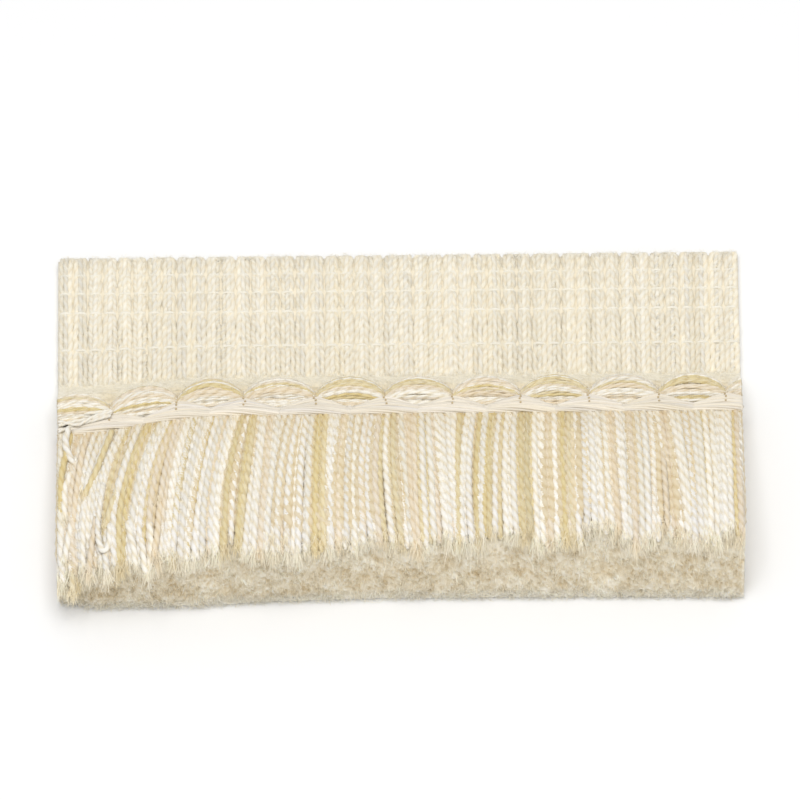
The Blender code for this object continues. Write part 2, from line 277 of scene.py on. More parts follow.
# Single yarns on top of the brush: dye and points of each. Ten lie tousled over the left end.
# The next two, long and peach, aren't in the photo and cover gaps between clumps of yarn. The
# last two, a loop and a bent thread at the left end, get no opened fibres at their tips.
STRAYS = (
    ("ivory", ((-38.9, -9.8, 6.0), (-39.4, -17.8, 7.3), (-39.4, -25.1, 7.8))),
    ("ivory", ((-40.3, -14.4, 6.4), (-41.3, -19.6, 6.8), (-41.7, -23.6, 6.8))),
    ("gold", ((-35.8, -3.0, 4.9), (-37.8, -10.0, 6.6), (-39.4, -14.1, 6.9))),
    ("peach", ((-37.4, -15.0, 7.2), (-38.3, -21.1, 8.0), (-38.8, -26.0, 7.8))),
    ("ivory", ((-33.9, -18.7, 8.4), (-33.2, -22.8, 9.3), (-32.9, -25.7, 9.2))),
    ("ivory", ((-32.3, -21.3, 8.9), (-31.9, -24.6, 9.5), (-31.6, -26.8, 9.0))),
    ("ivory", ((-31.2, -19.0, 8.7), (-30.9, -22.9, 9.5), (-31.3, -26.3, 9.2))),
    ("peach", ((-29.8, -15.8, 8.4), (-30.2, -20.6, 9.3), (-30.6, -24.7, 9.8))),
    ("ivory", ((-40.9, -9.5, 5.5), (-41.7, -12.6, 6.2), (-41.9, -17.2, 6.5))),
    ("gold", ((-34.3, -10.4, 7.0), (-35.7, -15.4, 8.1), (-36.7, -19.6, 8.3))),
    ("peach", (
        (-27.6, -1.6, 4.7), (-28.0, -3.9, 5.6), (-28.85, -8.4, 7.05), (-29.5, -12.5, 8.2),
        (-29.9, -16.0, 8.7),
    )),
    ("peach", (
        (32.6, -1.6, 4.7), (32.75, -6.4, 6.6), (32.85, -11.0, 8.4), (33.0, -15.7, 9.55),
        (33.1, -21.3, 9.8),
    )),
    ("ivory", (
        (-36.9, -11.8, 7.0), (-37.4, -15.8, 7.8), (-37.7, -20.3, 8.3), (-37.2, -23.2, 8.8),
        (-36.4, -23.2, 8.9), (-36.1, -21.4, 8.8), (-36.2, -18.6, 8.2),
    )),
    ("pale", (
        (-41.3, -2.6, 4.6), (-41.7, -4.2, 4.9), (-41.7, -5.6, 5.2), (-41.3, -6.9, 5.4),
        (-40.7, -8.3, 5.5),
    )),
)

# Felted face of the cut end and its loose fibres
FACE_STEP = 0.26
# Painted shade on the felt where it runs back under the yarns' tips and along both sides
SHELF_SHADE = np.array([0.86, 0.80, 0.68])
FACE_FIBRES = 46000
FACE_GREY_Z = 2.4
FACE_TUFTS = 9000
# How far the fibres' red, green and blue differ from tuft to tuft of the face
TUFT_SPREAD = np.array([0.06, 0.08, 0.125])
FACE_UNDERCUT = 0.05
FACE_TALL = 11.5
FACE_OUT = np.array([0.0, -0.96, 0.28])
FIBRE_LOW = 0.05
TIP_FIBRES = 100
LIP_TUFTS = 60
CURLS = 3200

# Camera: the photo's view, long lens, 100 mm across the 800-pixel frame
VIEW_ELEVATION = 58.0
VIEW_ROLL = -0.59
VIEW_TARGET = (0.0, 3.35, 3.0)
LENS = 800.0
SENSOR = 36.0
FRAME_WIDTH = 100.0

# Light
ROOM_LIGHT = 0.64
KEY_PLACE = (0.0, -0.10, 0.62)
KEY_SIZE = 0.40
KEY_POWER = 2.2

# Random draws: one set for everything, and one for how the brush's yarns drift together
# along the trim, a sum of waves with a rate and a start each
chance = np.random.default_rng(SEED)
drift_chance = np.random.default_rng(SEED + 1)
drift_waves = 2 * math.pi / drift_chance.uniform(3.0, 9.0, 6)
drift_starts = drift_chance.uniform(0.0, 2 * math.pi, 6)


# Small helpers


def smooth(share):
    share = np.clip(share, 0.0, 1.0)
    return share * share * (3 - 2 * share)


def blend(start, end, share):
    return start + (end - start) * share


def sag(x):
    """The slump at x: (towards -Y, down)."""
    share = smooth((SAG_START_X - np.asarray(x, float)) / (SAG_START_X + HALF_LENGTH))
    return SAG_Y * share, SAG_Z * share


def at(table, column, x):
    """A column of the table at x. The table's first row has its columns' names."""
    names, *rows = table
    places, values = ([row[names.index(name)] for row in rows] for name in ("x", column))
    return np.interp(x, places, values)


def jitter(size, shape=None):
    """Random offsets about 0, two thirds of them smaller than the size."""
    return chance.normal(0.0, size, shape)


def shares(count):
    """Even shares from 0 to 1."""
    return np.linspace(0.0, 1.0, count)


def unit(vectors):
    return vectors / np.linalg.norm(vectors, axis=-1, keepdims=True)


def tints(names, spread=DYE_SPREAD):
    """A colour for each named dye, each a little off its neighbours."""
    base = np.array([DYES[name] for name in names])
    dyed = np.array([name in ("gold", "peach") for name in names])[:, None]
    take = chance.uniform(*DYE_TAKE, (len(base), 1))
    base = np.where(dyed, blend(DYES["ivory"], base, take), base)
    shade = jitter(spread, (len(base), 1))
    warmth = jitter(spread / 2, (len(base), 1)) * np.array([[0.3, 0.0, -1.0]])
    return np.clip(base * (1.0 + shade + warmth), *COLOUR_RANGE)


def wander(count, t, size, waves=3):
    """Smooth random offsets along many paths at once."""
    total = np.zeros((count, len(t)))
    for wave in range(1, waves + 1):
        phase = chance.uniform(0, 2 * math.pi, (count, 1))
        total += jitter(1.0 / wave, (count, 1)) * np.sin(phase + wave * math.pi * t)
    return size * total


def wiggle(count, places, size):
    """Short random waves, 1 to 3 mm long, along many paths at once."""
    total = np.zeros((count, len(places)))
    for _ in range(4):
        wave = 2 * math.pi / chance.uniform(1.0, 3.0, (count, 1))
        total += np.sin(wave * places + chance.uniform(0, 2 * math.pi, (count, 1)))
    return size / math.sqrt(2.0) * total


def soft_field(short, long, waves=28):
    """A smooth random field over space: a function of (..., 3) points, about -2 to 2."""
    directions = unit(chance.normal(size=(waves, 3)))
    directions *= 2 * math.pi / chance.uniform(short, long, (waves, 1))
    phases = chance.uniform(0, 2 * math.pi, waves)
    scale = math.sqrt(2.0 / waves)
    return lambda points: scale * np.cos(points @ directions.T + phases).sum(axis=-1)


# Mesh makers


def outline(points, thin=1.0):
    """A round or flattened outline."""
    angles = np.arange(points) / points * 2 * math.pi
    return np.stack([np.cos(angles), np.sin(angles) * thin], axis=1)


# A two-ply yarn's outline: the plies lie side by side and meet in a groove above and below
YARN_SECTION = np.array([
    (1.0, 0.0), (0.70, 0.72), (0.0, 0.71), (-0.70, 0.72),
    (-1.0, 0.0), (-0.70, -0.72), (0.0, -0.71), (0.70, -0.72),
])
YARN_SECTION_PLAIN = outline(6, 0.80)
THREAD_SECTION = outline(8, 0.84)
# The length of one turn, for threads that don't turn
STRAIGHT = math.inf
# How far apart neighbouring yarns lie in the fibre pattern
PATTERN_SHIFT = 3.7


def carried_frames(paths):
    """Tangent and two sideways directions at every point, carried along without twist."""
    tangents = unit(np.gradient(paths, axis=1))
    side = np.cross(tangents[:, 0], (0.0, 0.0, 1.0))
    flat = np.linalg.norm(side, axis=1) < 0.1
    side[flat] = np.cross(tangents[flat, 0], (1.0, 0.0, 0.0))
    sides = np.empty_like(paths)
    for index in range(paths.shape[1]):
        tangent = tangents[:, index]
        side = unit(side - tangent * np.sum(side * tangent, axis=1, keepdims=True))
        sides[:, index] = side
    return tangents, sides, np.cross(sides, tangents)


def path_lengths(paths):
    steps = np.linalg.norm(np.diff(paths, axis=1), axis=2)
    return np.concatenate([np.zeros((len(paths), 1)), np.cumsum(steps, axis=1)], axis=1)


def softened(points, steps, passes):
    """A path through the points, its corners rounded a little more by each pass."""
    u = shares(steps)
    share = shares(len(points))
    path = np.stack([np.interp(u, share, values) for values in zip(*points)], axis=1)
    for _ in range(passes):
        path[1:-1] = (path[:-2] + 2 * path[1:-1] + path[2:]) / 4
    return path


def grid_quads(rows, columns):
    """Quads between the points of a grid that are listed row by row."""
    wide = columns + 1
    corner = np.arange(rows)[:, None] * wide + np.arange(columns)
    return np.stack([corner, corner + wide, corner + wide + 1, corner + 1], axis=-1).reshape(-1, 4)


def linked(name, data):
    """An object in the scene for a mesh, a light or a camera."""
    obj = bpy.data.objects.new(name, data)
    bpy.context.scene.collection.objects.link(obj)
    return obj


def mesh_object(name, points, faces, tint, material, uvs=None):
    """An object from points (mm), arrays of faces, a colour per point and a uv per corner.

    Points that no face uses are left out.
    """
    totals = np.concatenate([np.full(len(part), part.shape[1]) for part in faces])
    starts = np.concatenate([[0], np.cumsum(totals)[:-1]])
    used, corners = np.unique(np.concatenate([part.ravel() for part in faces]), return_inverse=True)
    placed = points[used] + ORIGIN
    placed[:, 2] = np.maximum(placed[:, 2], FLOOR_GAP)
    mesh = bpy.data.meshes.new(name)
    mesh.vertices.add(len(placed))
    mesh.vertices.foreach_set("co", (placed * MM).astype(np.float32).ravel())
    mesh.loops.add(len(corners))
    mesh.loops.foreach_set("vertex_index", corners.astype(np.int32))
    mesh.polygons.add(len(totals))
    mesh.polygons.foreach_set("loop_start", starts.astype(np.int32))
    mesh.update(calc_edges=True)
    mesh.shade_smooth()
    rgba = np.ones((len(placed), 4), np.float32)
    rgba[:, :3] = np.clip(tint[used], *COLOUR_RANGE)
    mesh.attributes.new("tint", "FLOAT_COLOR", "POINT").data.foreach_set("color", rgba.ravel())
    if uvs is not None:
        all_uvs = np.zeros((len(corners), 2), np.float32)
        all_uvs[: len(uvs)] = uvs
        mesh.uv_layers.new(name="yarn").data.foreach_set("uv", all_uvs.ravel())
    mesh.materials.append(material)
    return linked(name, mesh)


def yarns(name, paths, radius, section, turn, colours, material):
    """One object of many yarns: a section swept along each path, turning as it goes."""
    paths = np.asarray(paths)
    count, steps, _ = paths.shape
    sides = len(section)
    radius = np.broadcast_to(radius, (count, steps))
    _, across, up = carried_frames(paths)
    lengths = path_lengths(paths)
    phase = chance.uniform(0, 2 * math.pi, (count, 1))
    spin = phase + 2 * math.pi * lengths / np.broadcast_to(turn, (count,))[:, None]
    cos = (np.cos(spin) * radius)[..., None, None]
    sin = (np.sin(spin) * radius)[..., None, None]
    a, b = section.T[:, None, None, :, None]
    rings = across[:, :, None] * (a * cos - b * sin)
    rings = paths[:, :, None] + rings + up[:, :, None] * (a * sin + b * cos)

    corner = np.arange(count * steps * sides).reshape(count, steps, sides)
    beside = np.roll(corner, -1, axis=2)
    quads = np.stack([corner[:, :-1], beside[:, :-1], beside[:, 1:], corner[:, 1:]], axis=-1)
    caps = np.concatenate([corner[:, 0, ::-1], corner[:, -1]])

    v = lengths + np.arange(count)[:, None] * PATTERN_SHIFT
    uvs = np.empty((count, steps - 1, sides, 4, 2))
    uvs[..., 0] = (np.arange(sides)[:, None] + (0, 1, 1, 0)) / sides
    uvs[..., :2, 1] = v[:, :-1, None, None]
    uvs[..., 2:, 1] = v[:, 1:, None, None]
    colours = np.broadcast_to(colours.reshape(count, -1, 3), (count, steps, 3))
    tint = np.repeat(colours.reshape(-1, 3), sides, axis=0)
    faces = [quads.reshape(-1, 4), caps]
    return mesh_object(name, rings.reshape(-1, 3), faces, tint, material, uvs.reshape(-1, 2))


def ribbons(name, paths, widths, colours, material):
    """One object of fine fibres, each a ribbon along its path that narrows to its tip."""
    count, steps, _ = paths.shape
    paths[:, :, 0] = np.clip(paths[:, :, 0], -HALF_LENGTH, HALF_LENGTH)
    tangents, _, _ = carried_frames(paths)
    sideways = unit(np.cross(tangents, chance.normal(size=(count, 1, 3))))
    taper = np.linspace(1.0, 0.45, steps)[None, :, None]
    sideways = sideways * widths[:, None, None] / 2 * taper
    points = np.stack([paths - sideways, paths + sideways], axis=2).reshape(-1, 3)
    corner = np.arange(count * steps).reshape(count, steps, 1)[:, :-1] * 2
    quads = (corner + (0, 1, 3, 2)).reshape(-1, 4)
    return mesh_object(name, points, [quads], np.repeat(colours, steps * 2, axis=0), material)


# Materials


def set_inputs(tree, node, inputs):
    """Gives each of a node's inputs a value, or a link from another node's output."""
    for key, value in inputs.items():
        if isinstance(value, bpy.types.NodeSocket):
            tree.links.new(value, node.inputs[key])
        else:
            node.inputs[key].default_value = value


def add_node(tree, kind, output, inputs, operation=None):
    """Adds a node with its operation, if it has one, and inputs, and returns the named output."""
    node = tree.nodes.new("ShaderNode" + kind)
    if operation:
        node.operation = operation
    if kind == "Mix":
        node.data_type = "RGBA"
    set_inputs(tree, node, inputs)
    return node.outputs[output]


def new_material(name):
    """A material, a function that adds a node to it and one that sets its shader's inputs."""
    material = bpy.data.materials.new(name)
    material.use_nodes = True
    tree = material.node_tree
    shader = tree.nodes["Principled BSDF"]
    return material, partial(add_node, tree), partial(set_inputs, tree, shader)


def tint_attribute(add):
    tint = add("Attribute", "Color", {})
    tint.node.attribute_name = "tint"
    return tint


def shaded_tint(add, tint, factor):
    """The tint, lighter or darker by the factor."""
    return add("VectorMath", "Vector", {0: tint, "Scale": factor}, "SCALE")


def yarn_material(name, roughness, ply_groove_shade, ply_crest_highlight, ply_depth):
    """Soft yarn: the tint attribute, with painted shade where its plies meet and painted highlight on
    their crests, and fibres along them.
    """
    material, add, shade = new_material(name)
    tint = tint_attribute(add)
    place = add("UVMap", "UV", {})
    place.node.uv_map = "yarn"
    # Round the yarn, u = 0 and 0.5 are the plies' crests and 0.25 and 0.75 the grooves
    u = add("SeparateXYZ", "X", {"Vector": place})
    angle = add("Math", "Value", {0: u, 1: 2 * math.pi}, "MULTIPLY")
    wave = add("Math", "Value", {0: angle}, "COSINE")
    crest = add("Math", "Value", {0: wave}, "ABSOLUTE")
    plies = add("MapRange", "Result", {"From Max": 0.88, "Value": crest})
    # Painted shade in the ply grooves and painted highlight on the crests, mixed by the plies' mask
    painted_ply_light = add("Mix", 2, {0: plies, 6: (*ply_groove_shade, 1.0), 7: (*ply_crest_highlight, 1.0)})
    stretch = add("Mapping", "Vector", {"Scale": (14.0, 1.6, 1.0), "Vector": place})
    fibres = add("TexNoise", "Fac", {"Scale": 1.0, "Detail": 3.0, "Vector": stretch})
    streaks = add("MapRange", "Result", {
        "From Min": 0.3, "From Max": 0.7, "To Min": 0.95, "To Max": 1.03, "Value": fibres,
    })
    dyed = add("VectorMath", "Vector", {0: tint, 1: painted_ply_light}, "MULTIPLY")
    colour = shaded_tint(add, dyed, streaks)
    relief = add("Math", "Value", {0: fibres, 1: 0.25, 2: plies}, "MULTIPLY_ADD")
    bump = {"Strength": 0.6, "Distance": ply_depth * MM, "Height": relief}
    shade({
        "Roughness": roughness, "Specular IOR Level": 0.18,
        "Sheen Weight": 0.25, "Sheen Roughness": 0.5,
        "Base Color": colour,
        "Normal": add("Bump", "Normal", bump),
    })
    return material


def fuzz_material():
    """Loose fibres: the tint attribute, a little lighter or darker from place to place."""
    material, add, shade = new_material("loose_fibres")
    tint = tint_attribute(add)
    spots = add("TexNoise", "Fac", {"Scale": 900.0})
    lighter = add("MapRange", "Result", {"To Min": 0.94, "To Max": 1.05, "Value": spots})
    colour = shaded_tint(add, tint, lighter)
    shade({"Roughness": 0.8, "Specular IOR Level": 0.2, "Base Color": colour})
    return material


def cloth_material():
    """The knitted ground: fine ribs along the columns and a soft nap."""
    material, add, shade = new_material("knitted_ground")
    tint = tint_attribute(add)
    place = add("TexCoord", "Object", {})
    stretch = add("Mapping", "Vector", {"Scale": (2400.0, 500.0, 2400.0), "Vector": place})
    ribs = add("TexNoise", "Fac", {"Scale": 1.0, "Detail": 2.0, "Vector": stretch})
    nap = add("TexNoise", "Fac", {"Scale": 3500.0, "Detail": 3.0, "Vector": place})
    height = add("Math", "Value", {0: ribs, 1: nap}, "ADD")
    # The colour follows the bump's height: painted shade in the low parts of the ribs and nap, painted
    # light on the high parts
    lighter = add("MapRange", "Result", {
        "From Min": 0.6, "From Max": 1.4, "To Min": 0.94, "To Max": 1.04, "Value": height,
    })
    bump = {"Strength": 0.5, "Distance": 0.06 * MM, "Height": height}
    shade({
        "Roughness": 0.9, "Specular IOR Level": 0.2, "Sheen Weight": 0.3,
        "Base Color": shaded_tint(add, tint, lighter),
        "Normal": add("Bump", "Normal", bump),
    })
    return material


# Heading


def thread_height(y):
    """Height of the columns' threads at y: low at each line, puffed up between them."""
    height = np.full_like(y, THREAD_LOW_Z)
    back = TURN_BACK_Y + 0.6
    for front, puff, _ in LINES:
        share = (back - y) / (back - front)
        inside = (share > 0) & (share < 1)
        height[inside] += puff * np.sin(math.pi * share[inside]) ** 0.6
        back = front
    return height


def near_line(y):
    """1 on a thread line and 0 away from it."""
    return sum(np.exp(-(((y - line_y) / 0.55) ** 2)) for line_y, _, _ in LINES)


def thread_spacing(y):
    """Distance between a column's threads: closer where a thread line gathers them."""
    loose = smooth((LOOSE_FROM_Y - y) / 1.5)
    return blend(TIGHT_SPACING, LOOSE_SPACING, loose) - LINE_GATHER * near_line(y)


def heading_sag(x, y):
    """How far the slumped end's heading is drawn towards -Y, none at its back."""
    return sag(x)[0] * smooth((SAG_BACK_Y - y) / SAG_BACK_Y)


def heading_threads(material, fuzz):
    """Every column's threads, turning back at the edge into the next column of the pair."""
    front_y = FRONT_LINE_Y - 0.5
    straight = TURN_BACK_Y - front_y
    total = 2 * straight + TURN_BACK_LENGTH
    steps = round(total / THREAD_TURN * THREAD_STEPS_PER_TURN)
    t = shares(steps)
    places = t * total
    turn = np.clip((places - straight) / TURN_BACK_LENGTH, 0.0, 1.0) * math.pi
    base_y = np.minimum(front_y + places, TURN_BACK_Y)
    base_y = np.minimum(base_y, TURN_BACK_Y - (places - straight - TURN_BACK_LENGTH))
    paths = []
    for pair in range(COLUMNS // 2):
        left_x = -HALF_LENGTH + (2 * pair + 0.5) * COLUMN_PITCH
        for thread in range(THREADS_PER_COLUMN):
            offset = thread - (THREADS_PER_COLUMN - 1) / 2
            rise = LOOP_RISE - LOOP_NEST * thread / (THREADS_PER_COLUMN - 1)
            y = base_y + rise * np.sin(turn)
            spread = offset * thread_spacing(np.minimum(y, TURN_BACK_Y))
            x = blend(left_x + spread, left_x + COLUMN_PITCH - spread, (1 - np.cos(turn)) / 2)
            crown = RIB_CROWN * (1.0 - (2 * offset / (THREADS_PER_COLUMN - 1)) ** 2)
            crown = crown * smooth((y - LOOSE_FROM_Y) / 2.0)
            z = thread_height(y) + crown - LOOP_DROP * np.sin(turn) ** 2
            dive = smooth((FRONT_LINE_Y + 0.35 - y) / 0.6)
            paths.append(np.stack([x, y - heading_sag(x, y), z - 0.25 * dive], axis=1))
    paths = np.array(paths)
    paths[:, :, 0] += wiggle(len(paths), places, THREAD_WIGGLE)
    paths[:, :, 2] += wiggle(len(paths), places, THREAD_WIGGLE)
    half = len(paths) // 2
    turns = THREAD_TURN * chance.uniform(0.7, 1.4, len(paths)) * chance.choice([-1.0, 1.0], len(paths))
    # Painted shade: the outer threads of each column, next to the slits, are darker
    outer = np.arange(len(paths)) % THREADS_PER_COLUMN != THREADS_PER_COLUMN // 2
    colours = tints(["cream"] * len(paths)) * np.where(outer[:, None], COLUMN_SIDE_SHADE, 1.0)
    mottle = chance.normal(1.0, THREAD_MOTTLE, (len(paths), steps, 1))
    colours = colours[:, None, :] * mottle
    edge = paths[:, steps // 2 - 8:steps // 2 + 9]
    pieces = [
        hairs("heading_hairs", fuzz, (paths, THREAD_RADIUS, HEADING_HAIRS, 0.8, "cream")),
        hairs(
            "edge_hairs", fuzz, (edge, THREAD_RADIUS, EDGE_HAIRS, 0.6, "cream"),
            (nap_rows(), 0.05, NAP_HAIRS, 0.9, "cream"),
        ),
    ]
    for name, part in (("left", slice(0, half)), ("right", slice(half, None))):
        pieces.append(yarns(
            "heading_threads_" + name, paths[part], THREAD_RADIUS, THREAD_SECTION, turns[part],
            colours[part], material,
        ))
    return pieces


def near_pinch(x, reach):
    """1 at a pinch, falling to 0 over a few times the reach."""
    away = np.abs(x[..., None] - np.array(PINCHES)).min(axis=-1)
    return np.exp(-((away / reach) ** 2))


def nap_height(x, y):
    """How far the bare cloth next to the floats rises, less at the pinches."""
    hollow = near_pinch(x, 1.2)
    return NAP_RISE * (1 - 0.4 * hollow) * np.exp(-(((y - NAP_RISE_Y) / 1.15) ** 2))


def nap_rows():
    """Lines along the bare cloth from which its nap stands up."""
    x = np.linspace(-HALF_LENGTH + 0.3, HALF_LENGTH - 0.3, 300)
    x, y = np.meshgrid(x, np.linspace(3.9, 6.9, 9))
    z = CLOTH_BARE + nap_height(x, y)
    return np.stack([x, y - heading_sag(x, y), z], axis=-1)


def line_threads(material):
    """The thin threads that cross the columns and dip between them."""
    per_column = 8
    steps = COLUMNS * per_column + 1
    x = np.linspace(-HALF_LENGTH + 0.05, HALF_LENGTH - 0.05, steps)
    t = shares(steps)
    over = (1 - np.cos((x + HALF_LENGTH) / COLUMN_PITCH * 2 * math.pi)) / 2
    z = THREAD_LOW_Z + THREAD_RADIUS * 0.62 + RIB_CROWN * over - 0.34 * (1 - over) ** 3
    paths = []
    for line_y, _, radius in LINES:
        y = line_y - heading_sag(x, line_y) + wander(1, t, 0.02, 40)[0]
        paths.append(np.stack([x, y, z + radius * 0.1], axis=1))
    radii = np.array([[radius] for _, _, radius in LINES])
    colours = tints(["cream"] * len(LINES))
    return yarns("thread_lines", paths, radii, outline(6), STRAIGHT, colours, material)


def base_cloth(material):
    """The knitted ground: a closed sheet, lower under the threads and bare by the floats."""
    columns = COLUMNS * 7
    wide = columns + 1
    x = np.linspace(-HALF_LENGTH, HALF_LENGTH, wide)
    y = np.concatenate([np.linspace(EDGE_Y - 0.9, 8.8, 9), np.linspace(8.4, CLOTH_FRONT_Y, 20)])
    rows = len(y) - 1
    grid_x, grid_y = np.meshgrid(x, y)
    bare = smooth((CLOTH_BARE_Y + 1.3 - grid_y) / 1.0)
    folds = soft_field(0.7, 1.6)(np.stack([grid_x, grid_y * 0.12, 0 * grid_x], axis=-1))
    rise = nap_height(grid_x, grid_y)
    top_z = blend(CLOTH_LOW, CLOTH_BARE + rise + FOLD_HEIGHT * folds, bare)
    placed_y = grid_y - heading_sag(grid_x, grid_y)
    top = np.stack([grid_x, placed_y, top_z], axis=-1).reshape(-1, 3)
    points = np.concatenate([top, top * np.array([1.0, 1.0, 0.0])])
    border = np.concatenate([
        np.arange(wide),
        np.arange(1, rows + 1) * wide + columns,
        rows * wide + np.arange(columns - 1, -1, -1),
        np.arange(rows - 1, 0, -1) * wide,
    ])
    following = np.roll(border, -1)
    walls = np.stack([border, following, following + len(top), border + len(top)], axis=-1)
    quads = np.concatenate([grid_quads(rows, columns), walls])
    under = (border + len(top))[None, :]
    colour = np.tile(DYES["felt"], (len(points), 1))
    # Painted shade: the bare cloth turns tan in its hollows at the pinches, next to the overhanging
    # hanks
    pinch_shade = near_pinch(points[:, 0], 1.1) * smooth((6.2 - points[:, 1]) / 2.0)
    colour = blend(colour, DYES["tan"], 0.65 * pinch_shade[:, None])
    # Painted shade: the cloth under the threads is a darker beige, so the slits between the columns
    # look shaded
    slit_shade = smooth((np.concatenate([grid_y.ravel()] * 2) - CLOTH_BARE_Y - 1.2) / 0.6)[:, None]
    slit_shade = slit_shade * (points[:, 2:3] > 0.01)
    colour = blend(colour, DYES["beige"], slit_shade)
    return mesh_object("base_cloth", points, [quads, under], colour, material)


# Floats, ties and chain stitch


def hank_ring(swell, angle, fill=1.0, front_lift=FRONT_LIFT):
    """A point on the hank's outline, (y, z), for a swell from 0 at a pinch to 1 at the bulge."""
    radius = blend(PINCH_SIZE, SWELL, swell) * fill
    lift = front_lift * swell * smooth((angle - FRONT_LIFT_FROM) / 1.1)
    y = blend(PINCH_CENTRE[0], SWELL_CENTRE[0], swell) + radius * np.cos(angle) - 0.62 * lift
    z = blend(PINCH_CENTRE[1], SWELL_CENTRE[1], swell) + radius * np.sin(angle) + lift
    return y, z


def even_angles(count):
    """Angles of yarns that lie evenly spaced on the bulge's outline."""
    angles = np.radians(np.linspace(FLOAT_BACK_ANGLE, FLOAT_FRONT_ANGLE, 200))
    outline_points = np.stack(hank_ring(1.0, angles), axis=-1)
    lengths = path_lengths(outline_points[None])[0]
    return np.interp(np.linspace(0.0, lengths[-1], count), lengths, angles)


def float_yarns(material, fuzz):
    """The hanks between the pinches, each yarn arched round the hank's middle."""
    steps = 31
    ends = [PINCHES[0] - FLOAT_PITCH, *PINCHES, PINCHES[-1] + FLOAT_PITCH]
    letters = {"i": "ivory", "g": "gold", "p": "peach"}
    t = shares(steps)
    # Yarns inside the hank: angle, share of the hank's size and lift, the last in its middle
    inside = [
        *((angle, 0.9, 0.0) for angle in np.radians(np.linspace(225.0, 355.0, HIDDEN_FLOATS))),
        *((angle, 0.7, 0.55) for angle in np.radians(np.linspace(20.0, 208.0, INNER_FLOATS))),
        (0.0, 0.0, 0.0),
    ]
    paths = []
    covered = []
    covered_radius = []
    names = []
    for low, high, dyes in zip(ends, ends[1:], FLOAT_DYES):
        x = np.linspace(max(low, -HALF_LENGTH), min(high, HALF_LENGTH), steps)
        share = (x - low) / (high - low)
        bulge = np.sin(math.pi * share)
        swell = bulge ** SWELL_POWER
        forward, down = sag(x)
        for index, angle in enumerate(even_angles(FLOAT_STRANDS)):
            angle = angle + wander(1, t, 0.07, 3)[0] * bulge
            y, z = hank_ring(swell, angle, chance.uniform(0.93, 1.03))
            paths.append(np.stack([x, y - forward, z - down * FLOAT_SAG], axis=1))
            names.append(letters[dyes[index * len(dyes) // FLOAT_STRANDS]])
        for angle, fill, lift in inside:
            y, z = hank_ring(swell, angle, fill, lift)
            covered.append(np.stack([x, y - forward, z - down * FLOAT_SAG], axis=1)[::2])
            thick = np.full(steps, 0.45) if fill else blend(0.2, 1.0, swell)
            covered_radius.append(thick[::2])
    hair_row = (np.array(paths), FLOAT_RADIUS, FLOAT_HAIRS, 0.7, "ivory")
    return [
        hairs("float_hairs", fuzz, hair_row),
        yarns(
            "float_yarns", paths, FLOAT_RADIUS, YARN_SECTION_PLAIN, FLOAT_TURN, tints(names),
            material,
        ),
        # Painted shade: the yarns inside the hank are a deeper amber, so the gaps between the outer
        # yarns look shaded
        yarns(
            "float_yarns_inside", covered, covered_radius, outline(6), STRAIGHT,
            tints(["shaded_amber"] * len(covered)), material,
        ),
    ]


def tie_threads(material):
    """At each pinch, threads that rise from the ground, cross the hank and meet the chain."""
    t = shares(16)
    tan_share = smooth((t[:, None] - 0.2) / 0.6)
    colour = blend(np.array(DYES["cream"]), DYES["tan"], tan_share)
    paths = []
    for pinch in PINCHES:
        forward, down = sag(pinch)
        for side in np.linspace(-1.0, 1.0, TIE_THREADS):
            back = chance.uniform(4.9, 6.3)
            route_y = np.interp(t, TIE_STOPS, (back, *TIE_Y))
            route_z = np.interp(t, TIE_STOPS, TIE_Z)
            reach = (1 - t) ** 1.3
            x = pinch + side * (TIE_SPREAD * reach + 0.12) + wander(1, t, 0.06)[0]
            paths.append(np.stack([x, route_y - forward, route_z - down * 0.6 * t], axis=1))
    colours = np.array([colour] * len(paths))
    return yarns("tie_threads", paths, TIE_RADIUS, outline(4), STRAIGHT, colours, material)


